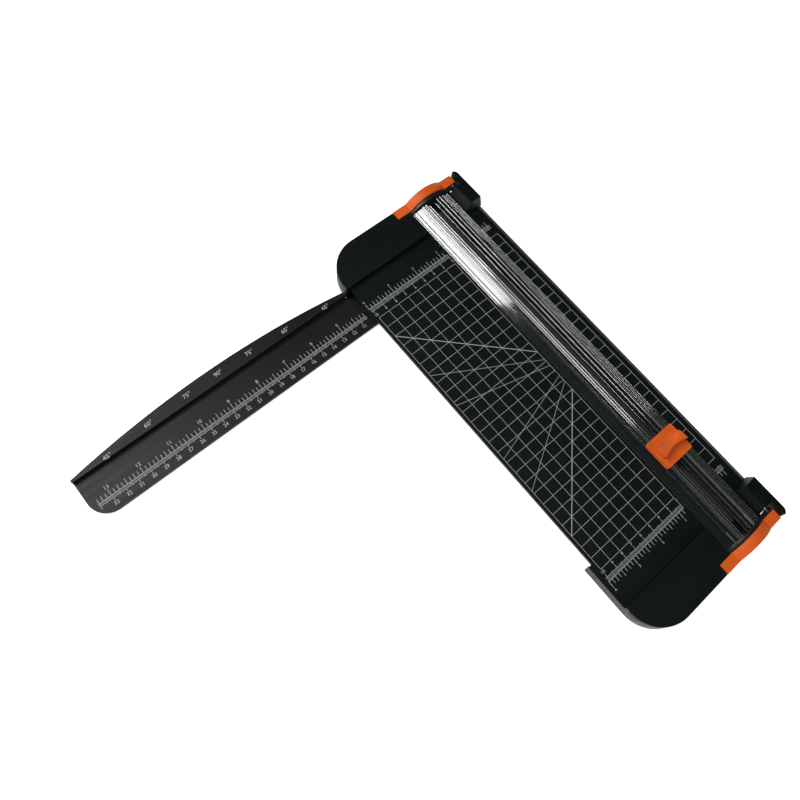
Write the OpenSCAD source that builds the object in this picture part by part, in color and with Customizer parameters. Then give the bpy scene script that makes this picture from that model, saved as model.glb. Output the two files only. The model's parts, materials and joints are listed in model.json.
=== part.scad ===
// Rotary paper trimmer: a black base with a printed deck, a clear rail that flips up on two
// hinge pins, a thumb carriage that presses a small round blade down, and a side ruler arm
// that swings out from under the deck. X runs along the cut, +Y is the hinge side, Z is up
// and the feet stand on Z = 0.

/* [Base] */
// Overall length of the base along the cut
base_length = 379; // [300:1:460]
// Height of the deck surface above the table
deck_height = 15; // [12:0.5:25]
// Distance of the front edge of the deck from the cut line
deck_front = 102.6; // [80:0.2:130]
// Distance of the hinge side edge of the deck from the cut line
deck_back = 35.5; // [30:0.5:60]
// Distance between the two paper stop walls of the end caps
stop_gap = 313; // [220:1:360]
// Height of the end caps above the deck
cap_rise = 4.5; // [2:0.5:8]
// Radius of the large front corners
corner_radius = 30; // [10:1:40]

/* [Rail] */
// Width of the clear rail across the cut
rail_width = 38; // [30:1:60]
// Length of the clear rail
rail_length = 357; // [280:1:420]
// Height of the rail above the deck
rail_height = 8; // [6:0.5:12]
// Distance of the rail hinge axis from the cut line
hinge_offset = 27.6; // [22:0.2:40]

/* [Carriage] */
// Position of the carriage along the cut in the rest pose
carriage_x = 97; // [-160:0.2:160]
// Length of the carriage along the cut
carriage_length = 23.6; // [18:0.2:40]
// Width of the carriage across the cut
carriage_width = 26.8; // [20:0.2:40]
// Diameter of the round blade
blade_diameter = 12; // [10:0.5:14]
// Travel of the blade when the carriage is pressed
press_travel = 1.7; // [1:0.1:2]

/* [Ruler arm] */
// Distance of the arm tip from the cut line
arm_reach = 346; // [200:1:420]
// Width of the ruled part of the arm
arm_width = 34; // [25:0.5:50]
// Depth of the raised fence at its middle
fence_depth = 12.5; // [6:0.1:20]

/* [Show] */
// Which sub-part to show

/* [Hidden] */
$fn = 96;
black = [0.10, 0.11, 0.11];
dark = [0.16, 0.18, 0.18];
orange = [0.91, 0.38, 0.12];
clear = [0.85, 0.90, 0.92, 0.35];
steel = [0.75, 0.76, 0.78];
half_length = base_length / 2;
stop_x = stop_gap / 2;
cap_front = deck_front + 3.4;
cap_back = deck_back + 0.5;
back_radius = 5;
deck_thick = 3;
deck_under = deck_height - deck_thick;
skirt_z = 3;
cap_top = deck_height + cap_rise;
wall = 2.5;
fit_gap = 0.3;
tongue_x = 120.5;
channel = 20.3;
tower_y = 19.4;
tower_face = 25.2;
tower_top = deck_height + 9.6;
pocket_x = half_length - 8.3;
bracket_x = rail_length / 2;
axis_z = deck_height + 1.5;
knuckle_r = 3.6;
pin_d = 3;
fit_d = 0.1;
arm_x = -140.5;
arm_y = 17 - deck_front - 0.4;
arm_top = 3.5;
arm_bottom = 1;
fence_top = 8.5;
fence_start = cap_front + 0.4;
fence_middle = -223;
fence_radius = 737;
hub_top = 6.5;
blade_dx = 1.5;
blade_z = deck_height + 1.2 + blade_diameter / 2;
frame_top = deck_height + rail_height + 1.4;
plate_under = deck_height + rail_height + press_travel + 0.25;
plate_top = deck_height + 14.7;
feet = [[-172, -76], [172, -76], [-170, 8], [170, 8], [0, -52], [0, 0]];
screws = [[-170, -46], [-168, -92], [170, -46], [168, -92], [-166, 28.5], [166, 28.5]];

// a flat shape in the Y-Z plane drawn out along X from x0 to x1
module across(x0, x1) {
    translate([x0, 0, 0])
        rotate([90, 0, 90])
            linear_extrude(height = x1 - x0)
                children();
}

// quarter disc that rounds one outer corner; dir is -1 for the front, 1 for the hinge side
module corner(x, y, r, dir) {
    translate([x, y])
        intersection() {
            circle(r = r);
            translate([0, dir < 0 ? -r : 0]) square([r, r]);
        }
}

// outline of one end of the base: x from 0 to l, rounded at the outer corners
module end_outline(l, y0, y1, ra, rb) {
    translate([0, y0 + ra]) square([l, y1 - y0 - ra - rb]);
    translate([0, y1 - rb]) square([l - rb, rb]);
    translate([0, y0]) square([l - ra, ra]);
    corner(l - ra, y0 + ra, ra, -1);
    corner(l - rb, y1 - rb, rb, 1);
}

// plan of the near end of the base, inset from the outer faces
module near_plan(x0, inset) {
    translate([x0, 0])
        end_outline(half_length - inset - x0, inset - cap_front, cap_back - inset,
            corner_radius - inset, back_radius - inset);
}

module rail_hinge_bore(x0, x1, d) {
    translate([x0, hinge_offset, axis_z])
        rotate([0, 90, 0])
            cylinder(d = d, h = x1 - x0);
}

// ---- base ----

module deck_end() {
    linear_extrude(height = deck_thick)
        intersection() {
            near_plan(stop_x - 1, wall + fit_gap);
            translate([stop_x - 1, -deck_front]) square([60, deck_front + 60]);
        }
}

module base_body() {
    color(black)
    difference() {
        union() {
            translate([-stop_x, -deck_front, deck_under])
                cube([stop_gap, deck_front + deck_back - 3.4, deck_thick]);
            // hinge side edge with its bevel and skirt
            across(-stop_x, stop_x)
                polygon([[deck_back - 3.4, deck_under], [deck_back - 3.4, deck_height],
                    [deck_back, deck_height - 2.2], [deck_back, skirt_z],
                    [deck_back - wall, skirt_z], [deck_back - wall, deck_under]]);
            translate([0, 0, deck_under]) deck_end();
            mirror([1, 0, 0]) translate([0, 0, deck_under]) deck_end();
            // ribs under the deck
            translate([-119, -66, 5]) cube([stop_x + 119, 2, deck_under - 5]);
            for (x = [-118, -60, 58, 116])
                translate([x, -64, 5]) cube([2, 64 + deck_back - wall, deck_under - 5]);
            // columns for the feet
            for (p = feet)
                translate([p[0], p[1], skirt_z]) cylinder(d = 16, h = deck_under - skirt_z);
            // boss for the arm pivot
            translate([arm_x, arm_y, hub_top + 0.5])
                cylinder(d = 18, h = deck_under - hub_top - 0.5);
        }
        // groove for the cutting strip
        translate([-168, -4, deck_height - 2]) cube([336, 8, 3]);
        for (p = feet)
            translate([p[0], p[1], 2]) cylinder(d = 6, h = 5);
        for (p = screws)
            translate([p[0], p[1], 5]) cylinder(d = 3.2, h = 12);
        translate([arm_x, arm_y, 3]) cylinder(d = 3.4, h = 10.5);
        // room for the hinge knuckles
        for (s = [0, 1])
            mirror([s, 0, 0])
                translate([bracket_x - 0.5, 22.6, 5]) cube([20, 11, 20]);
    }
}

// hinge tower: a facet slopes towards the rail and the end face leans back from its foot,
// which stands on the deck and wraps its bevelled edge
module tower() {
    foot = stop_x - 3.6;
    intersection() {
        linear_extrude(height = 40) near_plan(foot, 0);
        across(foot, half_length)
            polygon([[tower_y, deck_height + 0.05], [tower_y, cap_top - 1], [tower_face, tower_top],
                [cap_back, tower_top], [cap_back, deck_height - 2.2],
                [deck_back + 0.1, deck_height - 2.2], [deck_back - 3.3, deck_height + 0.05]]);
        translate([0, 40, 0])
            rotate([90, 0, 0])
                linear_extrude(height = 40)
                    polygon([[foot, 0], [foot, deck_height], [foot + 2.8, tower_top],
                        [half_length, tower_top], [half_length, 0]]);
    }
}

// outer shell of an end cap, drawn for the near end
module cap_shell() {
    difference() {
        union() {
            translate([0, 0, skirt_z])
                linear_extrude(height = cap_top - skirt_z) near_plan(stop_x, 0);
            tower();
        }
        // room for the end of the deck
        translate([0, 0, skirt_z - 1])
            linear_extrude(height = deck_height - skirt_z + 1) near_plan(stop_x - 1, wall);
        // hollow above the deck on the front side
        difference() {
            translate([0, 0, deck_height - 1])
                linear_extrude(height = cap_rise - 1.2)
                    intersection() {
                        near_plan(stop_x + 2, wall);
                        union() {
                            translate([stop_x + 2, -cap_front]) square([40, cap_front - 35]);
                            translate([stop_x + 2, -36])
                                square([pocket_x - 2.5 - stop_x - 2, 36 - 22.6]);
                        }
                    }
            for (p = screws)
                translate([abs(p[0]), p[1], 0]) cylinder(d = 7, h = 40);
        }
        // channel that the rail lies in
        translate([stop_x - 5, -channel, deck_height])
            cube([60, channel + tower_y, 30]);
        // the facet also trims the shell beside the channel
        across(stop_x - 5, half_length)
            polygon([[tower_y - 1, cap_top - 1], [tower_y, cap_top - 1], [tower_face, tower_top],
                [tower_face, 60], [tower_y - 1, 60]]);
        // pocket for the rail bracket and end piece
        translate([pocket_x - 0.3, -32.6, deck_height + 0.2]) cube([20, 40, 30]);
        translate([bracket_x - 2.7, 0, deck_height]) cube([30, 32.7, 30]);
        translate([bracket_x - 0.5, 22.6, axis_z - 5]) cube([30, 10.1, 30]);
        rail_hinge_bore(bracket_x - 8, half_length, pin_d);
        for (p = screws)
            translate([abs(p[0]), p[1], 0]) cylinder(d = 2.6, h = deck_height + 3.2);
    }
}

module cap_near() {
    color(black)
    union() {
        cap_shell();
        // low side wall that carries on along the deck
        translate([tongue_x, -cap_front, skirt_z])
            cube([stop_x - tongue_x + 1.5, cap_front - deck_front, deck_height - skirt_z]);
    }
}

module cap_far() {
    color(black)
    union() {
        difference() {
            mirror([1, 0, 0]) cap_shell();
            // room for the arm under the corner of the front wall
            translate([arm_x - arm_width / 2 - 0.3, -cap_front - 1, 0]) cube([10, 50, 4.5]);
        }
        // web that closes the slit between the front wall and the edge of the deck
        translate([-stop_x - 4, -deck_front - 1.5, 5]) cube([4, 5.5, deck_under - 5.3]);
    }
}

module cutting_strip() {
    color([0.22, 0.23, 0.24])
    difference() {
        translate([-168, -4, deck_height - 2]) cube([336, 8, 2]);
        // score groove that the blade runs in
        translate([-168.5, -0.5, deck_height - 0.8]) cube([337, 1, 1]);
    }
}

module rubber_feet() {
    color([0.20, 0.20, 0.21])
    for (p = feet)
        translate([p[0], p[1], 0]) {
            cylinder(d1 = 12.6, d2 = 14, h = skirt_z);
            cylinder(d = 6, h = 6);
        }
}

module base_screws() {
    color(steel)
    for (p = screws)
        translate([p[0], p[1], 0])
            difference() {
                union() {
                    translate([0, 0, deck_under - 2]) cylinder(d = 5.6, h = 2);
                    translate([0, 0, deck_under - 0.5]) cylinder(d = 2.6, h = 6.5);
                }
                translate([-1.6, -0.4, deck_under - 2.5]) cube([3.2, 0.8, 1.3]);
                translate([-0.4, -1.6, deck_under - 2.5]) cube([0.8, 3.2, 1.3]);
            }
}

// ---- side ruler arm ----

module arm_plan() {
    tip = 16;
    x0 = arm_x - arm_width / 2;
    difference() {
        union() {
            translate([arm_x, arm_y]) circle(d = arm_width);
            translate([x0, tip - arm_reach]) square([arm_width, arm_reach - tip + arm_y]);
            translate([x0, -arm_reach]) square([arm_width - tip, tip + 1]);
            intersection() {
                translate([x0 + arm_width - tip, tip - arm_reach]) circle(r = tip);
                translate([x0 + arm_width - tip, -arm_reach]) square([tip, tip + 1]);
            }
        }
        translate([arm_x, arm_y]) circle(d = 6);
    }
}

// crescent of the raised fence, bounded by one large arc
module fence_plan(inset) {
    x0 = arm_x - arm_width / 2;
    intersection() {
        translate([x0 - fence_depth + fence_radius, fence_middle])
            circle(r = fence_radius - inset, $fn = 400);
        translate([x0 - 40, inset - arm_reach])
            square([40 + 2 - inset, arm_reach - fence_start - 2 * inset]);
    }
}

module ruler_arm() {
    color(dark)
    difference() {
        union() {
            translate([0, 0, arm_bottom])
                linear_extrude(height = arm_top - arm_bottom) arm_plan();
            translate([0, 0, arm_bottom])
                linear_extrude(height = fence_top - arm_bottom)
                    difference() {
                        fence_plan(0);
                        translate([arm_x - arm_width / 2, -400]) square([10, 400]);
                    }
            // hub around the pivot
            translate([arm_x, arm_y, arm_bottom])
                difference() {
                    cylinder(d = 24, h = hub_top - arm_bottom);
                    translate([0, 0, -1]) cylinder(d = 6, h = 20);
                }
        }
        // the fence is hollow underneath
        translate([0, 0, arm_bottom - 1])
            linear_extrude(height = fence_top - arm_bottom - 1)
                difference() {
                    fence_plan(2);
                    translate([arm_x - arm_width / 2 - 2, -400]) square([20, 400]);
                    translate([-260, -260]) square([200, 2]);
                    translate([-260, -190]) square([200, 2]);
                }
        // recess for the head of the pivot screw
        translate([arm_x, arm_y, arm_bottom - 1]) cylinder(d = 11, h = 3.2);
    }
}

module arm_pivot_screw() {
    color(steel)
    translate([arm_x, arm_y, 0])
        difference() {
            union() {
                translate([0, 0, 1.2]) cylinder(d = 10, h = 1.8);
                translate([0, 0, 2]) cylinder(d = 5.9, h = hub_top - 2 + 0.5);
                translate([0, 0, 4]) cylinder(d = 3.4, h = 9);
            }
            translate([-2.6, -0.5, 0.5]) cube([5.2, 1, 1.7]);
            translate([-0.5, -2.6, 0.5]) cube([1, 5.2, 1.7]);
        }
}

module arm_washer() {
    color(steel)
    translate([arm_x, arm_y, hub_top])
        difference() {
            cylinder(d = 14, h = 0.45);
            translate([0, 0, -1]) cylinder(d = 6.1, h = 3);
        }
}

module arm_glide() {
    color([0.20, 0.20, 0.21])
    translate([arm_x, 14 - arm_reach, 0.3]) cylinder(d1 = 7, d2 = 8, h = arm_bottom - 0.3);
}

// ---- clear rail and its ends ----

// one half of the rail section, measured from the cut line and the deck
module rail_half() {
    w = rail_width / 2;
    t = rail_height;
    difference() {
        polygon([[2.4, 3.4], [2.4, 5], [4.4, 5], [4.4, t], [6.2, t], [6.4, t - 1],
            [8.2, t - 1.3], [8.5, t - 0.6], [10.3, t - 0.9], [10.6, t - 2], [11.8, t - 2.4],
            [12, t - 2], [12.9, t - 2.3], [13.1, t - 3.2], [w - 1.4, 2.8], [w, 2], [w, 0.6],
            [w - 1.8, 0.6], [12.4, 2.9], [12, 1], [8.2, 1], [8, 3.4]]);
        translate([10.2, 3.9]) circle(d = 1.8);
    }
}

// bridge that joins the halves near each end of the rail
module clear_rail() {
    color(clear)
    union() {
        across(-bracket_x, bracket_x)
            translate([0, deck_height]) {
                rail_half();
                mirror([1, 0]) rail_half();
            }
        for (s = [-1, 1])
            translate([s * (bracket_x - 1) - 1, -2.5, deck_height + 3.4]) cube([2, 5, 1.6]);
    }
}

// arch over the rail: half width, height above the deck at its sides and at its crown
module arch(w, side, crown) {
    rise = crown - side;
    r = (w * w + rise * rise) / (2 * rise);
    intersection() {
        translate([0, deck_height + crown - r]) circle(r = r, $fn = 200);
        translate([-w, deck_height + 0.6]) square([2 * w, crown]);
    }
}

module bracket() {
    difference() {
        union() {
            across(bracket_x, bracket_x + 3) {
                arch(18.6, 4, 11.4);
                translate([-20, deck_height + 0.6]) square([hinge_offset + 20, 3.6]);
            }
            rail_hinge_bore(bracket_x, bracket_x + 3, 2 * knuckle_r - 0.4);
        }
        rail_hinge_bore(bracket_x - 1, bracket_x + 4, pin_d + fit_d);
        for (s = [-1, 1])
            translate([bracket_x - 1, s * 10.2, deck_height + 3.9])
                rotate([0, 90, 0]) cylinder(d = 1.9, h = 6);
    }
}

module rail_bracket_near() {
    color(black) bracket();
}

module rail_bracket_far() {
    color(black) mirror([1, 0, 0]) bracket();
}

module rail_end() {
    x0 = bracket_x + 3;
    difference() {
        union() {
            across(x0, half_length) {
                arch(18.6, 5.2, 13);
                translate([-32, deck_height + 0.4]) square([14, 4.9]);
                translate([18, deck_height + 0.4]) square([11.6, 4.9]);
                translate([29, deck_height + 0.4]) square([2.2, 3.3]);
                translate([29.6, deck_height + 3.7]) circle(r = 1.6);
            }
            rail_hinge_bore(x0, half_length, 2 * knuckle_r);
        }
        // hollow under the hump
        across(x0 - 1, half_length - 2) arch(16.4, 4.4, 11);
        translate([x0 - 1, -17.4, deck_height]) cube([half_length - x0 - 1, 34.8, 1]);
        rail_hinge_bore(x0 - 1, half_length - 1.5, pin_d + fit_d);
    }
}

module rail_end_near() {
    color(orange) rail_end();
}

module rail_end_far() {
    color(orange) mirror([1, 0, 0]) rail_end();
}

module hinge_pin_near() {
    color(steel) rail_hinge_bore(bracket_x - 8, half_length - 2, pin_d);
}

module hinge_pin_far() {
    color(steel) mirror([1, 0, 0]) rail_hinge_bore(bracket_x - 8, half_length - 2, pin_d);
}

module rail_screws() {
    color(steel)
    for (m = [0, 1], s = [-1, 1])
        mirror([m, 0, 0])
            translate([0, s * 10.2, deck_height + 3.9])
                rotate([0, 90, 0])
                    difference() {
                        union() {
                            translate([0, 0, bracket_x - 9]) cylinder(d = 1.8, h = 13);
                            translate([0, 0, bracket_x + 3]) cylinder(d = 3.4, h = 1.4);
                        }
                        translate([-0.3, -1, bracket_x + 3.7]) cube([0.6, 2, 2]);
                    }
}

// ---- carriage and blade ----

module at_carriage() {
    translate([carriage_x, 0, 0]) children();
}

module slider_frame() {
    l = carriage_length - 2.4;
    d = deck_height;
    color(dark)
    at_carriage()
        difference() {
            union() {
                // plate on the rail, runner in its channel, neck and shoe under it
                translate([-l / 2, -9, d + rail_height + 0.1]) cube([l, 18, 1.3]);
                translate([-l / 2, -4.1, d + 5.1]) cube([l, 8.2, rail_height - 4.9]);
                translate([-l / 2, -2.1, d + 2]) cube([l, 4.2, 4]);
                translate([-l / 2, -6.6, d + 1.4]) cube([l, 13.2, 1.8]);
            }
            translate([-9.2, -2.2, d]) cube([18.4, 4.4, rail_height + 0.1]);
            translate([-8.6, -2.2, d]) cube([17.2, 4.4, 12]);
            translate([-9.2, -10, d]) cube([18.4, 20, 5.05]);
        }
}

// side outline of the thumb grip: ramp, crest and undercut front
module grip_side() {
    z = plate_top;
    polygon([[-7.5, z - 1], [-7.5, z], [-5.6, z + 0.4], [-4, z + 4.6], [-2.6, z + 6],
        [0, z + 6.7], [3, z + 7], [4.8, z + 7], [5.2, z + 6.6], [4.2, z + 5.4], [3.4, z + 3.4],
        [3.4, z + 1.4], [4.2, z], [4.2, z - 1]]);
}

module plate_plan(inset) {
    l = carriage_length / 2 - inset;
    w = carriage_width / 2 - inset;
    r = 1.6 - inset;
    square([2 * l, 2 * (w - r)], center = true);
    square([2 * (l - r), 2 * w], center = true);
    for (i = [-1, 1], j = [-1, 1])
        translate([i * (l - r), j * (w - r)]) circle(r = r);
}

module carriage_cap() {
    ceiling = plate_top - 2.2;
    color(orange)
    at_carriage()
        difference() {
            union() {
                translate([0, 0, plate_under])
                    linear_extrude(height = plate_top - plate_under) plate_plan(0);
                intersection() {
                    rotate([90, 0, 0])
                        translate([0, 0, -12]) linear_extrude(height = 24) grip_side();
                    translate([0, 0, 10]) linear_extrude(height = 40) plate_plan(0);
                }
            }
            // hollow underneath, open around the slider plate
            translate([0, 0, plate_under - 1])
                linear_extrude(height = ceiling - plate_under + 1) plate_plan(1);
            // thumb scoop
            translate([-13.5, 0, plate_top + 19.9]) sphere(r = 20, $fn = 160);
            // the crest is bowed in plan and undercut
            translate([2 + 30, 0, plate_top + 0.01]) cylinder(r = 30, h = 12, $fn = 160);
            translate([0.7 + 30, 0, plate_top + 1]) cylinder(r = 30, h = 4, $fn = 160);
            // seat of the blade holder
            intersection() {
                translate([blade_dx, 1.9, blade_z])
                    rotate([90, 0, 0]) cylinder(r = blade_diameter / 2 + 1.3, h = 3.8);
                translate([-20, -5, 0]) cube([40, 10, blade_z + blade_diameter / 2 + 1]);
            }
            // spring seats
            for (s = [-1, 1])
                translate([3, s * 7.2, ceiling - 0.5]) cylinder(d = 4.9, h = 1.9);
        }
}

module blade_holder() {
    r = blade_diameter / 2;
    d = deck_height;
    color([0.30, 0.31, 0.32])
    at_carriage()
        difference() {
            union() {
                translate([-9, -1.9, d + 2.6]) cube([18, 3.8, rail_height - 2.7]);
                translate([-6.2, -1.9, d + 2.6]) cube([14.2, 3.8, rail_height]);
                intersection() {
                    translate([blade_dx, 1.9, blade_z])
                        rotate([90, 0, 0]) cylinder(r = r + 0.95, h = 3.8);
                    translate([-20, -5, d + 5]) cube([40, 10, blade_z + r + 1 - d - 5]);
                }
            }
            // gap for the blade
            translate([blade_dx, 0.7, blade_z])
                rotate([90, 0, 0]) cylinder(r = r + 0.4, h = 1.4);
            translate([blade_dx, 5, blade_z])
                rotate([90, 0, 0]) cylinder(d = 2.5, h = 10);
        }
}

module round_blade() {
    r = blade_diameter / 2;
    color(steel)
    at_carriage()
        translate([blade_dx, 0, blade_z])
            rotate([90, 0, 0])
                difference() {
                    union() {
                        cylinder(r1 = r, r2 = r - 0.9, h = 0.2);
                        translate([0, 0, -0.2]) cylinder(r1 = r - 0.9, r2 = r, h = 0.2);
                    }
                    translate([0, 0, -2]) cylinder(d = 2.6, h = 4);
                }
}

module blade_axle() {
    color(steel)
    at_carriage()
        translate([blade_dx, 1.85, blade_z])
            rotate([90, 0, 0]) cylinder(d = 2.5, h = 3.7);
}

module blade_spacers() {
    color([0.8, 0.66, 0.35])
    at_carriage()
        for (s = [-1, 1])
            translate([blade_dx, s * 0.46 + 0.2, blade_z])
                rotate([90, 0, 0])
                    difference() {
                        cylinder(d = 4.6, h = 0.4);
                        translate([0, 0, -1]) cylinder(d = 2.5, h = 3);
                    }
}

// one coil spring, wound from short straight lengths of wire
module coil(r, wire, h, turns) {
    steps = 14 * turns;
    for (i = [0 : steps - 1])
        hull()
            for (k = [i, i + 1])
                translate([r * cos(360 * k / 14), r * sin(360 * k / 14),
                    wire / 2 + (h - wire) * k / steps])
                    sphere(d = wire, $fn = 6);
}

module press_springs() {
    h = plate_top - 2.2 + 1.4 - frame_top;
    color(steel)
    at_carriage()
        for (s = [-1, 1])
            translate([3, s * 7.2, frame_top]) coil(1.75, 0.5, h, 3);
}

base_body();
cap_far();
cap_near();
cutting_strip();
rubber_feet();
base_screws();
ruler_arm();
arm_pivot_screw();
arm_washer();
arm_glide();
clear_rail();
rail_bracket_far();
rail_bracket_near();
rail_end_far();
rail_end_near();
hinge_pin_far();
hinge_pin_near();
rail_screws();
slider_frame();
carriage_cap();
blade_holder();
round_blade();
blade_axle();
blade_spacers();
press_springs();
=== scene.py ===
"""Looks of a rotary paper trimmer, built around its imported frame. Lengths are in metres unless noted."""

import json
import math

import bmesh
import bpy
from mathutils import Euler, Matrix, Quaternion, Vector

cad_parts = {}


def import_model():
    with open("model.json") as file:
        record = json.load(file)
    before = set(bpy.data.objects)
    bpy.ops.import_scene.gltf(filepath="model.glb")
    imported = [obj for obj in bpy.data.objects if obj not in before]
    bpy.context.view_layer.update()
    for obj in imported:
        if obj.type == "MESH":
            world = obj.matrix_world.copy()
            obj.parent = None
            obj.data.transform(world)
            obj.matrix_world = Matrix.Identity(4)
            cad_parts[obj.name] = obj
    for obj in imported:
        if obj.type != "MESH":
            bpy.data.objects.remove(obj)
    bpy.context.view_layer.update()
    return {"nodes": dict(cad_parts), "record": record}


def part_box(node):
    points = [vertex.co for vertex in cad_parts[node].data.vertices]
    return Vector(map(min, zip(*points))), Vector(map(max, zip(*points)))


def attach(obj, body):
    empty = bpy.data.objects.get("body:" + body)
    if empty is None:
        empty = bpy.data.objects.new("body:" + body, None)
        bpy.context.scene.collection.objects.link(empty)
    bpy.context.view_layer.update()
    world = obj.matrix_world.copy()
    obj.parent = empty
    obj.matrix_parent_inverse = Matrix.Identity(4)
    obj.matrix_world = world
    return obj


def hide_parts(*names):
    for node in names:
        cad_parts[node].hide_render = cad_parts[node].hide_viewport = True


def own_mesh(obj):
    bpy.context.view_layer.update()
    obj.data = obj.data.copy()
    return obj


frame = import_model()
nodes = frame["nodes"]

MM = 0.001
CM = 0.01
INCH = 0.0254

# ---- places that the frame gives ----

deck_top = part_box("base_body")[1].z
rail_low, rail_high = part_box("clear_rail")
fence_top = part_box("ruler_arm")[1].z
FENCE_STEP = 5 * MM  # from the arm's printed face up to the top of its fence
arm_face = fence_top - FENCE_STEP


# ---- material nodes ----

# sockets of a Mix node for colours, by number because the sockets of its other kinds share their names
MIX_FACTOR, MIX_FIRST, MIX_SECOND = 0, 6, 7
MIX_RESULT = 2


def new_material(name):
    """A material with its node tree emptied down to one Principled shader."""
    mat = bpy.data.materials.new(name)
    mat.use_nodes = True
    tree = mat.node_tree
    tree.nodes.clear()
    out = tree.nodes.new("ShaderNodeOutputMaterial")
    shader = tree.nodes.new("ShaderNodeBsdfPrincipled")
    tree.links.new(shader.outputs["BSDF"], out.inputs["Surface"])
    return mat, tree, shader


def noise(tree, scale, detail=3.0, stretch=(1, 1, 1)):
    """Noise over object space; stretch below 1 draws it out along that axis."""
    coord = tree.nodes.new("ShaderNodeTexCoord")
    mapping = tree.nodes.new("ShaderNodeMapping")
    mapping.inputs["Scale"].default_value = stretch
    tex = tree.nodes.new("ShaderNodeTexNoise")
    tex.inputs["Scale"].default_value = scale
    tex.inputs["Detail"].default_value = detail
    tree.links.new(coord.outputs["Object"], mapping.inputs["Vector"])
    tree.links.new(mapping.outputs["Vector"], tex.inputs["Vector"])
    return tex.outputs["Fac"]


def spread(tree, value, low, high, start=0.3, end=0.7):
    """Maps a value from start..end to low..high."""
    node = tree.nodes.new("ShaderNodeMapRange")
    node.inputs["From Min"].default_value = start
    node.inputs["From Max"].default_value = end
    node.inputs["To Min"].default_value = low
    node.inputs["To Max"].default_value = high
    tree.links.new(value, node.inputs["Value"])
    return node.outputs["Result"]


def blend_colours(tree, factor, first, second):
    """Mixes two colours, from the first at factor 0 to the second at factor 1."""
    node = tree.nodes.new("ShaderNodeMix")
    node.data_type = "RGBA"
    node.inputs[MIX_FIRST].default_value = (*first, 1)
    node.inputs[MIX_SECOND].default_value = (*second, 1)
    tree.links.new(factor, node.inputs[MIX_FACTOR])
    return node.outputs[MIX_RESULT]


def bump(tree, height, depth, under=None, strength=1.0):
    """A bump of that depth, laid over another bump where one is given."""
    node = tree.nodes.new("ShaderNodeBump")
    node.inputs["Strength"].default_value = strength
    node.inputs["Distance"].default_value = depth
    tree.links.new(height, node.inputs["Height"])
    if under is not None:
        tree.links.new(under, node.inputs["Normal"])
    return node.outputs["Normal"]


def shade(colour, factor):
    """The colour made darker, or lighter with a factor above 1."""
    return tuple(c * factor for c in colour)


def moulded_plastic(name, colour, rough, grain=0.35 * MM, depth=0.02 * MM, specular=0.5, tone=0.15):
    """Injection-moulded plastic: a fine spark-eroded grain, faint flow clouds and short rub marks."""
    mat, tree, shader = new_material(name)
    clouds = spread(tree, noise(tree, 24, 4), 0, 1)
    blend = blend_colours(tree, clouds, shade(colour, 1 - tone), shade(colour, 1 + tone))
    tree.links.new(blend, shader.inputs["Base Color"])
    rubs = noise(tree, 190, 4, (1, 0.12, 1))
    tree.links.new(spread(tree, rubs, rough - 0.05, rough + 0.06), shader.inputs["Roughness"])
    fine = bump(tree, noise(tree, 1 / grain, 2), depth)
    tree.links.new(bump(tree, noise(tree, 60, 2), 0.05 * MM, fine, 0.4), shader.inputs["Normal"])
    shader.inputs["Specular IOR Level"].default_value = specular
    return mat


def clear_plastic(name, solid):
    """Clear extrusion: drawn lines run along X, with a faint haze of rub marks. solid is how much of a
    surface's own gloss covers what lies behind it."""
    colour = (0.005, 0.007, 0.007)
    mat, tree, shader = new_material(name)
    shader.inputs["Alpha"].default_value = solid
    shader.inputs["IOR"].default_value = 1.75
    shader.inputs["Specular IOR Level"].default_value = 1.0
    drawn = spread(tree, noise(tree, 1100, 2, (0, 1, 1)), 0, 1, 0.35, 0.7)
    tree.links.new(blend_colours(tree, drawn, colour, shade(colour, 2.2)), shader.inputs["Base Color"])
    rub = noise(tree, 260, 4, (0.05, 1, 1))
    tree.links.new(spread(tree, rub, 0.05, 0.10, 0.45, 0.8), shader.inputs["Roughness"])
    return mat


def metal(name, colour, rough):
    """Bright metal with a fine machined grain."""
    mat, tree, shader = new_material(name)
    shader.inputs["Metallic"].default_value = 1.0
    grain = noise(tree, 1400, 3)
    stain = noise(tree, 160, 3)
    tree.links.new(blend_colours(tree, stain, shade(colour, 0.86), colour), shader.inputs["Base Color"])
    tree.links.new(spread(tree, grain, rough - 0.07, rough + 0.09), shader.inputs["Roughness"])
    tree.links.new(bump(tree, grain, 0.01 * MM, None, 0.5), shader.inputs["Normal"])
    return mat


def soft_rubber(name, colour):
    """Matt rubber with a dusty bloom."""
    mat, tree, shader = new_material(name)
    dust = spread(tree, noise(tree, 420, 5), 0, 0.5, 0.45, 0.8)
    tree.links.new(blend_colours(tree, dust, colour, shade(colour, 2.2)), shader.inputs["Base Color"])
    tree.links.new(spread(tree, noise(tree, 900, 3), 0.7, 0.9), shader.inputs["Roughness"])
    tree.links.new(bump(tree, noise(tree, 2400, 3), 0.03 * MM), shader.inputs["Normal"])
    return mat


def printed_ink(name, colour):
    """Pad-printed ink: slightly uneven, with pinholes where it took badly."""
    mat, tree, shader = new_material(name)
    cover = spread(tree, noise(tree, 1500, 4), 0, 1, 0.25, 0.6)
    tree.links.new(blend_colours(tree, cover, shade(colour, 0.72), colour), shader.inputs["Base Color"])
    tree.links.new(spread(tree, noise(tree, 700, 3), 0.45, 0.6), shader.inputs["Roughness"])
    tree.links.new(bump(tree, noise(tree, 2600, 2), 0.01 * MM), shader.inputs["Normal"])
    return mat


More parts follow.
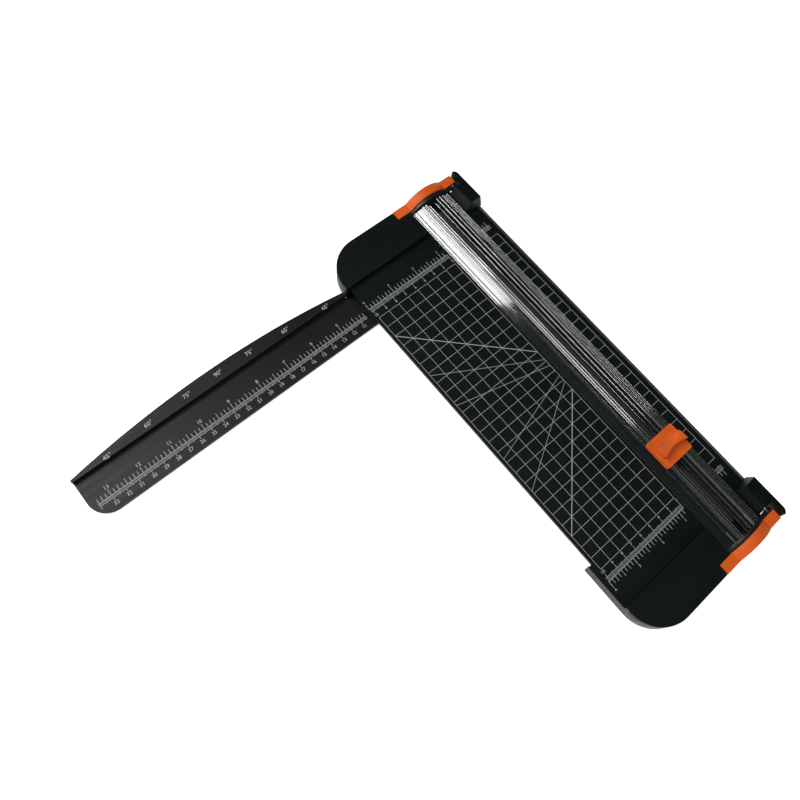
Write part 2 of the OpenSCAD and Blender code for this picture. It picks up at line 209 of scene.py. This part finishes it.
def scored_strip(name, colour):
    """Self-healing cutting strip: matt, with the fine score lines of past cuts along X."""
    mat, tree, shader = new_material(name)
    scores = noise(tree, 1600, 3, (0.006, 1, 1))
    worn = spread(tree, scores, 0, 1, 0.52, 0.7)
    tree.links.new(blend_colours(tree, worn, colour, shade(colour, 1.9)), shader.inputs["Base Color"])
    tree.links.new(spread(tree, scores, 0.55, 0.8), shader.inputs["Roughness"])
    tree.links.new(bump(tree, scores, 0.04 * MM, None, 0.7), shader.inputs["Normal"])
    return mat


MATERIALS = {
    "black_abs": moulded_plastic("black_abs", (0.0010, 0.0038, 0.0030), 0.46, specular=0.20),
    "arm_abs": moulded_plastic("arm_abs", (0.0042, 0.0064, 0.0060), 0.42, specular=0.24),
    "orange_abs": moulded_plastic("orange_abs", (0.74, 0.115, 0.011), 0.5, 0.5 * MM, 0.015 * MM,
                                  specular=0.3, tone=0.04),
    "black_nylon": moulded_plastic("black_nylon", (0.010, 0.010, 0.011), 0.36, 0.6 * MM, 0.01 * MM),
    "clear_acrylic": clear_plastic("clear_acrylic", 0.68),
    "steel": metal("steel", (0.62, 0.63, 0.65), 0.28),
    "blade_steel": metal("blade_steel", (0.75, 0.76, 0.78), 0.14),
    "brass": metal("brass", (0.78, 0.56, 0.24), 0.25),
    "rubber": soft_rubber("rubber", (0.030, 0.030, 0.031)),
    "strip": scored_strip("strip", (0.018, 0.019, 0.021)),
}
# the rail's downward faces let most light through, so that the rail's gloss isn't counted twice
CLEAR_UNDERSIDE = clear_plastic("clear_acrylic_underside", 0.2)
INK_MATERIAL = printed_ink("ink", (0.50, 0.52, 0.51))


# ---- CAD nodes: material and softened edges ----

EDGE_WIDTH = 0.35 * MM
OTHER_WIDTHS = {"round_blade": 0, "press_springs": 0, "blade_axle": 0.1 * MM}


def finish_node(name, slot, width):
    """Gives a CAD node its material and, where width isn't zero, a narrow bevel on its edges."""
    node = nodes[name]
    node.data.materials.clear()
    node.data.materials.append(MATERIALS[slot])
    if not width:
        return
    weld = node.modifiers.new("weld", "WELD")
    weld.merge_threshold = 0.002 * MM
    bevel = node.modifiers.new("soft_edges", "BEVEL")
    bevel.width = width
    bevel.segments = 2
    bevel.limit_method = "ANGLE"
    bevel.angle_limit = math.radians(40)
    bevel.harden_normals = True


for part in frame["record"]["subparts"]:
    finish_node(part["node"], part["material_slot"], OTHER_WIDTHS.get(part["node"], EDGE_WIDTH))


# ---- making objects ----


def place_in_scene(name, data):
    """A new object for a mesh, curve, light or camera."""
    obj = bpy.data.objects.new(name, data)
    bpy.context.scene.collection.objects.link(obj)
    return obj


def mesh_object(name, bm, *materials):
    """Turns the bmesh into an object with these materials, and frees it."""
    mesh = bpy.data.meshes.new(name)
    bm.to_mesh(mesh)
    bm.free()
    for material in materials:
        mesh.materials.append(material)
    return place_in_scene(name, mesh)


# ---- clear rail: the extrusion with its rounded edges and fine ribs ----

# Points of the half section are in millimetres: distance from the cut line, height above the deck.
INNER_FOOT = [(2.4, 3.4)]
RIDGE = [(4.4, 4.6), (4.5, 7.76), (5.05, 8), (6.0, 7.95), (6.9, 7.55), (7.0, 6.9), (7.5, 6.9),
         (8.2, 6.6)]
WING_START = (12.0, 5.9)
WING_END = (18.9, 2.3)
UNDERSIDE = [(18.9, 0.6), (17.2, 0.6), (12.4, 2.9), (12, 1), (8.2, 1), (8, 3.4)]

# each half: the lip beside the carriage's slot, the shoulder, and where the wing's grooves lie
FRONT_HALF = ([(2.4, 4.95), (2.5, 5), (3.3, 4.65)],
              [(8.3, 7.2), (8.6, 7.3), (9.1, 7.3), (10.3, 6.67), (10.5, 6.24), (11.7, 5.61),
               (11.9, 5.95)],
              (15.6, 18))
BACK_HALF = ([(2.4, 4.84), (2.75, 5), (3.5, 4.8)],
             [(8.3, 7.07), (8.7, 7.25), (10.2, 7.49), (10.5, 6), (11.6, 5.9), (11.95, 6.05)],
             (14, 16, 18))

# the corners' rounding, and the largest share of a side that a rounded corner may take
ROUNDING = 0.14
ROUNDING_STEPS = 2
ROUNDING_SHARE = 0.45

# a groove in the wing: where it starts, is deepest and ends, and its depth below that end
GROOVE_START, GROOVE_BOTTOM, GROOVE_END = -0.25, -0.15, 0.3
GROOVE_DEPTH = 0.2

SCREW_BORE = (10.2, 3.9)
SCREW_BORE_RADIUS = 0.9
SCREW_BORE_SIDES = 24

# the two bridges that join the halves across the slot: how far their middles lie from the rail's ends
# and above the deck, and their size
BRIDGE_INSET = 1 * MM
BRIDGE_HEIGHT = 4.1 * MM
BRIDGE_SIZE = (1.9 * MM, 4.9 * MM, 1.3 * MM)

FACING_DOWN = -0.1  # a normal's Z below this counts as the underside
SAME_PLACE = 1e-6


def rounded(points):
    """The polygon with every corner turned into a short arc; thin steps get a smaller arc."""
    out = []
    for i, p in enumerate(points):
        corner = Vector(p)
        before = Vector(points[i - 1]) - corner
        after = Vector(points[(i + 1) % len(points)]) - corner
        half = before.angle(after) / 2
        shorter_side = min(before.length, after.length)
        cut = min(ROUNDING / math.tan(half), shorter_side * ROUNDING_SHARE)
        start = corner + before.normalized() * cut
        end = corner + after.normalized() * cut
        for k in range(ROUNDING_STEPS + 1):
            t = k / ROUNDING_STEPS
            out.append((1 - t) ** 2 * start + 2 * t * (1 - t) * corner + t * t * end)
    return out


def wing_height(y):
    """Height of the wing's plain slope at this distance from the cut line."""
    (y0, z0), (y1, z1) = WING_START, WING_END
    return z0 + (z1 - z0) / (y1 - y0) * (y - y0)


def wing(grooves):
    """The sloping wing, cut by one-sided grooves: each drops steeply and rises gently outwards."""
    out = []
    for y in grooves:
        outer_rim = wing_height(y + GROOVE_END)
        out.append((y + GROOVE_START, wing_height(y + GROOVE_START)))
        out.append((y + GROOVE_BOTTOM, outer_rim - GROOVE_DEPTH))
        out.append((y + GROOVE_END, outer_rim))
    return out + [WING_END]


def rail_half_section(lip, shoulder, grooves):
    """Outline of one half of the rail."""
    return rounded(INNER_FOOT + lip + RIDGE + shoulder + wing(grooves) + UNDERSIDE)


def circle(centre, radius, sides):
    """Points around a centre."""
    turns = [2 * math.pi * k / sides for k in range(sides)]
    return [(centre[0] + radius * math.cos(a), centre[1] + radius * math.sin(a)) for a in turns]


def extrude_along_x(bm, outline, side, x0, x1):
    """Side walls of an outline of the half section, on the side -1 (front) or 1 (back) of the cut."""
    ring = [(side * p[0] * MM, deck_top + p[1] * MM) for p in outline]
    start, end = [[bm.verts.new((x, y, z)) for y, z in ring] for x in (x0, x1)]
    for i in range(len(ring)):
        j = (i + 1) % len(ring)
        bm.faces.new((start[i], start[j], end[j], end[i]))


def close_end(bm, x, side):
    """Fills one half's end at x, between its outline and its screw bore."""
    edges = [e for e in bm.edges if e.is_boundary
             and all(abs(v.co.x - x) < SAME_PLACE and v.co.y * side > 0 for v in e.verts)]
    bmesh.ops.triangle_fill(bm, edges=edges, use_beauty=True)


def rail_body():
    """Two halves with a screw bore each and a bridge near each end."""
    bm = bmesh.new()
    x0, x1 = rail_low.x, rail_high.x
    bore = circle(SCREW_BORE, SCREW_BORE_RADIUS, SCREW_BORE_SIDES)
    for side, half in ((-1, FRONT_HALF), (1, BACK_HALF)):
        extrude_along_x(bm, rail_half_section(*half), side, x0, x1)
        extrude_along_x(bm, bore, side, x0, x1)
    for x in (x0, x1):
        for side in (-1, 1):
            close_end(bm, x, side)
    for x in (x0 + BRIDGE_INSET, x1 - BRIDGE_INSET):
        place = Matrix.Translation((x, 0, deck_top + BRIDGE_HEIGHT))
        bmesh.ops.create_cube(bm, size=1, matrix=place @ Matrix.Diagonal((*BRIDGE_SIZE, 1)))
    bmesh.ops.recalc_face_normals(bm, faces=bm.faces)
    for face in bm.faces:
        face.material_index = 1 if face.normal.z < FACING_DOWN else 0
    obj = mesh_object("rail_body", bm, MATERIALS["clear_acrylic"], CLEAR_UNDERSIDE)
    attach(obj, "rail")
    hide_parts("clear_rail")


rail_body()


# ---- return springs: two round-wire coils with closed ends ----

SPRING_WIRE = 0.45 * MM
SPRING_TURNS = 5
CLOSED_TURNS = 0.9
STEPS_PER_TURN = 30
WIRE_SIDES = 10


def spring_height(turn, height):
    """Height of the wire's middle after so many turns; the end turns lie closed, the rest rise evenly."""
    closed = CLOSED_TURNS * SPRING_WIRE
    if turn < CLOSED_TURNS:
        return SPRING_WIRE / 2 + turn * SPRING_WIRE
    if turn > SPRING_TURNS - CLOSED_TURNS:
        return height - SPRING_WIRE / 2 - (SPRING_TURNS - turn) * SPRING_WIRE
    share = (turn - CLOSED_TURNS) / (SPRING_TURNS - 2 * CLOSED_TURNS)
    return SPRING_WIRE / 2 + closed + share * (height - SPRING_WIRE - 2 * closed)


def wire_ring(bm, middle, outward):
    """One ring of points around the wire."""
    ring = []
    for k in range(WIRE_SIDES):
        b = 2 * math.pi * k / WIRE_SIDES
        offset = outward * math.cos(b) + Vector((0, 0, math.sin(b)))
        ring.append(bm.verts.new(middle + offset * SPRING_WIRE / 2))
    return ring


def coil(bm, foot, radius, height):
    """One coil that stands on its foot, the middle of its lower end."""
    steps = STEPS_PER_TURN * SPRING_TURNS
    rings = []
    for i in range(steps + 1):
        turn = SPRING_TURNS * i / steps
        a = 2 * math.pi * turn
        outward = Vector((math.cos(a), math.sin(a), 0))
        middle = foot + Vector((0, 0, spring_height(turn, height))) + radius * outward
        rings.append(wire_ring(bm, middle, outward))
    for first, second in zip(rings, rings[1:]):
        for k in range(WIRE_SIDES):
            j = (k + 1) % WIRE_SIDES
            bm.faces.new((first[k], first[j], second[j], second[k]))
    bm.faces.new(rings[0][::-1])
    bm.faces.new(rings[-1])


def press_springs():
    """The carriage's two springs, which on the real trimmer shorten as it is pressed; here they keep their
    length and ride with the carriage.
    """
    low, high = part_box("press_springs")
    outer = (high.x - low.x) / 2
    height = high.z - low.z
    bm = bmesh.new()
    for centre_y in (low.y + outer, high.y - outer):
        coil(bm, Vector((low.x + outer, centre_y, low.z)), outer - SPRING_WIRE / 2, height)
    bmesh.ops.recalc_face_normals(bm, faces=bm.faces)
    for face in bm.faces:
        face.smooth = len(face.verts) == 4
    obj = mesh_object("coil_springs", bm, MATERIALS["steel"])
    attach(obj, "slider")
    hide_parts("press_springs")
    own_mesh(obj)


press_springs()


# ---- print: thin bars and numerals joined into one mesh per group ----

INK = 0.04 * MM
CAP_HEIGHT = 0.7  # height of a numeral, as a share of its font size
UPWARDS = 90  # turn of a numeral whose baseline runs along +Y

# widths of the printed lines
LINE = 0.28 * MM
HEAVY_LINE = 0.55 * MM
CM_BASELINE = 0.25 * MM
INCH_BASELINE = 0.4 * MM
LONG_TICK = 0.3 * MM
SHORT_TICK = 0.22 * MM
INCH_TICK = 0.34 * MM


class Print:
    """A group of printed lines and numerals on one flat face."""

    def __init__(self, name, body, z):
        self.name, self.body, self.z = name, body, z
        self.bm = bmesh.new()

    def line(self, x0, y0, x1, y1, width):
        """A flat bar of ink from one point to the other."""
        a, b = Vector((x0, y0, 0)), Vector((x1, y1, 0))
        along = (b - a).normalized()
        side = Vector((-along.y, along.x, 0)) * width / 2
        foot = [a + side, a - side, b - side, b + side]
        low = [self.bm.verts.new(p + Vector((0, 0, self.z - INK / 2))) for p in foot]
        top = [self.bm.verts.new(p + Vector((0, 0, self.z + INK / 2))) for p in foot]
        self.bm.faces.new(top)
        self.bm.faces.new(low[::-1])
        for i in range(4):
            j = (i + 1) % 4
            self.bm.faces.new((low[i], low[j], top[j], top[i]))

    def text(self, words, x, y, height):
        """Numerals centred on a point."""
        curve = bpy.data.curves.new("numeral", "FONT")
        curve.body = words
        curve.size = height / CAP_HEIGHT
        curve.align_x = "CENTER"
        curve.align_y = "CENTER"
        curve.resolution_u = 4
        curve.extrude = INK / 2
        obj = place_in_scene("numeral", curve)
        bpy.context.view_layer.update()
        shaped = obj.evaluated_get(bpy.context.evaluated_depsgraph_get())
        mesh = bpy.data.meshes.new_from_object(shaped)
        turn = Matrix.Rotation(math.radians(UPWARDS), 4, "Z")
        mesh.transform(Matrix.Translation((x, y, self.z)) @ turn)
        self.bm.from_mesh(mesh)
        bpy.data.meshes.remove(mesh)
        bpy.data.objects.remove(obj)
        bpy.data.curves.remove(curve)

    def finish(self):
        """Makes the group one piece, which rides with its body."""
        bmesh.ops.recalc_face_normals(self.bm, faces=self.bm.faces)
        obj = mesh_object(self.name, self.bm, INK_MATERIAL)
        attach(obj, self.body)


GRID_COLUMNS = 25
GRID_ROWS = 8
GRID_X0 = -123 * MM
GRID_X1 = GRID_X0 + GRID_COLUMNS * CM
GRID_Y1 = -20 * MM
GRID_Y0 = GRID_Y1 - GRID_ROWS * CM


def row_line(group, y):
    """A line along the whole grid, out to the far edges of its end lines."""
    group.line(GRID_X0 - LINE / 2, y, GRID_X1 + LINE / 2, y, LINE)


def column_lines(group, y0, y1):
    """The lines across the cut, one each centimetre."""
    for i in range(GRID_COLUMNS + 1):
        x = GRID_X0 + i * CM
        group.line(x, y0, x, y1, LINE)


def deck_grid():
    """The centimetre squares in front of the rail."""
    group = Print("deck_grid", "base", deck_top)
    column_lines(group, GRID_Y0, GRID_Y1)
    for i in range(GRID_ROWS + 1):
        row_line(group, GRID_Y0 + i * CM)
    group.finish()


def angle_lines():
    """Lines at 45, 60 and 75 degrees to the cut, from one point on it."""
    apex = -3 * MM
    just_above_grid = 0.01 * MM
    group = Print("deck_angle_lines", "base", deck_top + just_above_grid)
    for angle, width in ((45, HEAVY_LINE), (60, LINE), (75, LINE)):
        for side in (-1, 1):
            run = side / math.tan(math.radians(angle))
            group.line(apex - GRID_Y1 * run, GRID_Y1, apex - GRID_Y0 * run, GRID_Y0, width)
    group.finish()


BACK_START = 19.5 * MM


def back_comb():
    """The row of squares behind the rail."""
    back_end = 28 * MM
    group = Print("back_comb", "base", deck_top)
    column_lines(group, BACK_START, back_end)
    row_line(group, back_end)
    group.finish()


# each tick row: how many divisions apart, and how far the tick reaches past its scale's own line
CM_TICKS = ((10, 2.6 * MM), (5, 0.9 * MM), (1, 0))
INCH_TICKS = ((4, 5.2 * MM), (2, 4.3 * MM), (1, 3.7 * MM))
EIGHTH = INCH / 8
CM_LABEL_OUT = 4.4 * MM
INCH_LABEL_OUT = 7.2 * MM


def reach(count, ticks):
    """How far the tick at this count goes: the first row that divides it."""
    return next(length for apart, length in ticks if count % apart == 0)


def counts(low, high, pitch):
    """The whole counts of pitch from low to high, both ends included."""
    slack = 0.01
    return range(math.ceil(low / pitch - slack), math.floor(high / pitch + slack) + 1)


def ruler(name, body, z, x, side, y_low, y_high, cm_labels, inch_labels, height=2.3 * MM, band=3 * MM):
    """A double ruler along Y whose zero is at the cut. x is the centimetre baseline and side the
    direction in X of the centimetre labels; the inch scale is on the other side of the band."""
    group = Print(name, body, z)
    inch_x = x - side * band
    group.line(x, y_low, x, y_high, CM_BASELINE)
    group.line(inch_x, y_low, inch_x, y_high, INCH_BASELINE)
    for mm in counts(y_low, y_high, MM):
        y = mm * MM
        out = reach(mm, CM_TICKS)
        group.line(inch_x, y, x + side * out, y, LONG_TICK if out else SHORT_TICK)
    for eighth in counts(y_low, y_high, EIGHTH):
        y = eighth * EIGHTH
        group.line(inch_x, y, inch_x - side * reach(eighth, INCH_TICKS), y, INCH_TICK)
    for number in cm_labels:
        group.text(str(number), x + side * CM_LABEL_OUT, -number * CM, height)
    for number in inch_labels:
        group.text(str(number), inch_x - side * INCH_LABEL_OUT, -number * INCH, height)
    group.finish()


# the deck's rulers: name of the end, centimetre baseline, side of its labels
DECK_RULERS = (("near", 133.7 * MM, -1), ("far", -130.4 * MM, 1))
DECK_RULER_SPAN = (-4 * INCH, -19.6 * MM)
BACK_RULER_SPAN = (BACK_START, 27.6 * MM)
ARM_RULER_X = -132.7 * MM
ARM_RULER_SPAN = (-340.6 * MM, -104 * MM)


def deck_rulers():
    """A ruler at each end of the grid, and its short continuation behind the rail."""
    for end, x, side in DECK_RULERS:
        ruler(f"{end}_ruler", "base", deck_top, x, side, *DECK_RULER_SPAN, range(2, 11), range(1, 5))
    for end, x, side in DECK_RULERS:
        ruler(f"{end}_back_ruler", "base", deck_top, x, side, *BACK_RULER_SPAN, (), ())


def arm_ruler():
    """The ruler along the arm, which carries on the deck's count."""
    ruler("arm_ruler", "arm", arm_face, ARM_RULER_X, 1, *ARM_RULER_SPAN, range(11, 34), range(5, 14),
          height=2.8 * MM, band=2.2 * MM)


# angle marks on the arm's fence: place along Y in millimetres, and the angle
FENCE_MARKS = ((-317.6, 45), (-282.9, 60), (-249.7, 75), (-222.3, 90), (-194.6, 75), (-162.4, 60),
               (-125.8, 45))
# the row of marks bows outwards: X of its middle, how far its ends fall back and half its length, in mm
MARKS_MIDDLE_X = -163.6
MARKS_BOW = 4.9
MARKS_HALF = 96
MARK_HEIGHT = 3.4 * MM


def fence_marks():
    """Angle marks on the raised fence of the arm, in a bow that follows its crescent."""
    group = Print("fence_marks", "arm", fence_top)
    middle = (FENCE_MARKS[0][0] + FENCE_MARKS[-1][0]) / 2
    for y, angle in FENCE_MARKS:
        x = MARKS_MIDDLE_X + MARKS_BOW * ((y - middle) / MARKS_HALF) ** 2
        group.text(f"{angle}°", x * MM, y * MM, MARK_HEIGHT)
    group.finish()


deck_grid()
angle_lines()
back_comb()
deck_rulers()
arm_ruler()
fence_marks()


# ---- stage, light and camera ----


def floor():
    """A white sheet that glows a little more away from the object, to match the pale surroundings."""
    half = 20.0
    corners = [(-half, -half, 0), (half, -half, 0), (half, half, 0), (-half, half, 0)]
    mesh = bpy.data.meshes.new("floor")
    mesh.from_pydata(corners, [], [(0, 1, 2, 3)])
    mat, tree, shader = new_material("floor")
    paper = spread(tree, noise(tree, 3, 2), 0.86, 0.88)
    whites = blend_colours(tree, paper, (0.8, 0.8, 0.8), (0.9, 0.9, 0.9))
    tree.links.new(whites, shader.inputs["Base Color"])
    shader.inputs["Roughness"].default_value = 0.9
    shader.inputs["Specular IOR Level"].default_value = 0.1
    shader.inputs["Emission Color"].default_value = (1, 1, 1, 1)
    coord = tree.nodes.new("ShaderNodeTexCoord")
    away = tree.nodes.new("ShaderNodeVectorMath")
    away.operation = "LENGTH"
    tree.links.new(coord.outputs["Object"], away.inputs[0])
    glow = spread(tree, away.outputs["Value"], low=0.8, high=0.96, start=0.8, end=2.5)
    tree.links.new(glow, shader.inputs["Emission Strength"])
    mat.cycles.emission_sampling = "NONE"
    mesh.materials.append(mat)
    obj = place_in_scene("floor", mesh)


def world():
    """Pale surroundings for the camera, dimmer for what the surfaces mirror."""
    scene_world = bpy.data.worlds.new("studio")
    bpy.context.scene.world = scene_world
    scene_world.use_nodes = True
    scene_world.cycles.sampling_method = "NONE"
    tree = scene_world.node_tree
    tree.nodes.clear()
    out = tree.nodes.new("ShaderNodeOutputWorld")
    seen = tree.nodes.new("ShaderNodeBackground")
    seen.inputs["Color"].default_value = (0.96, 0.96, 0.96, 1)
    dim = tree.nodes.new("ShaderNodeBackground")
    dim.inputs["Color"].default_value = (0.9, 0.95, 1, 1)
    dim.inputs["Strength"].default_value = 0.06
    path = tree.nodes.new("ShaderNodeLightPath")
    mix = tree.nodes.new("ShaderNodeMixShader")
    tree.links.new(path.outputs["Is Camera Ray"], mix.inputs["Fac"])
    tree.links.new(dim.outputs["Background"], mix.inputs[1])
    tree.links.new(seen.outputs["Background"], mix.inputs[2])
    tree.links.new(mix.outputs["Shader"], out.inputs["Surface"])


# each light: name, place, target, width, height, power in watts, roll about its own axis in degrees
SOFTBOXES = (
    ("key", (-0.845, -0.7305, 1.30), (-0.115, -0.0505, 0), 0.71, 0.8, 16.6, 0),
    ("strip", (-0.262, -0.644, 1.672), (0.468, 0.036, 0.372), 0.72, 0.26, 3.2, 41.6),
    ("overhead", (0.15, -0.15, 1.2), (0.15, -0.15, 0), 0.9, 0.8, 1.4, 0),
    ("front", (-0.5, -1.9, 0.35), (0.0, -0.1, 0), 1.4, 0.4, 10.8, 0),
    ("side", (1.7, 0.3, 0.9), (0.1, 0, 0), 0.8, 0.8, 10, 0),
)


def softbox(name, place, target, width, height, power, roll):
    """A rectangular light that faces its target."""
    light = bpy.data.lights.new(name, "AREA")
    light.shape = "RECTANGLE"
    light.size = width
    light.size_y = height
    light.energy = power
    obj = place_in_scene(name, light)
    obj.location = place
    facing = (Vector(target) - Vector(place)).to_track_quat("-Z", "Y")
    obj.rotation_euler = (facing @ Quaternion((0, 0, 1), math.radians(roll))).to_euler()


# the photo's own view, solved from the deck's printed grid
CAMERA_PLACE = (0.0713, -0.2819, 0.5837)
CAMERA_TURN_DEGREES = (24.634, -6.728, 48.937)
CAMERA_LENS_MM = 35.725
CAMERA_SENSOR_MM = 36
CAMERA_SHIFT = (-0.0647, -0.0934)


def camera():
    """The camera, at the photo's place and with its lens."""
    data = bpy.data.cameras.new("camera")
    data.lens = CAMERA_LENS_MM
    data.sensor_width = CAMERA_SENSOR_MM
    data.shift_x, data.shift_y = CAMERA_SHIFT
    data.clip_start = 0.01
    obj = place_in_scene("camera", data)
    obj.location = CAMERA_PLACE
    obj.rotation_euler = Euler([math.radians(a) for a in CAMERA_TURN_DEGREES], "XYZ")
    bpy.context.scene.camera = obj


floor()
world()
for box in SOFTBOXES:
    softbox(*box)
camera()
bpy.context.scene.view_settings.view_transform = "Standard"
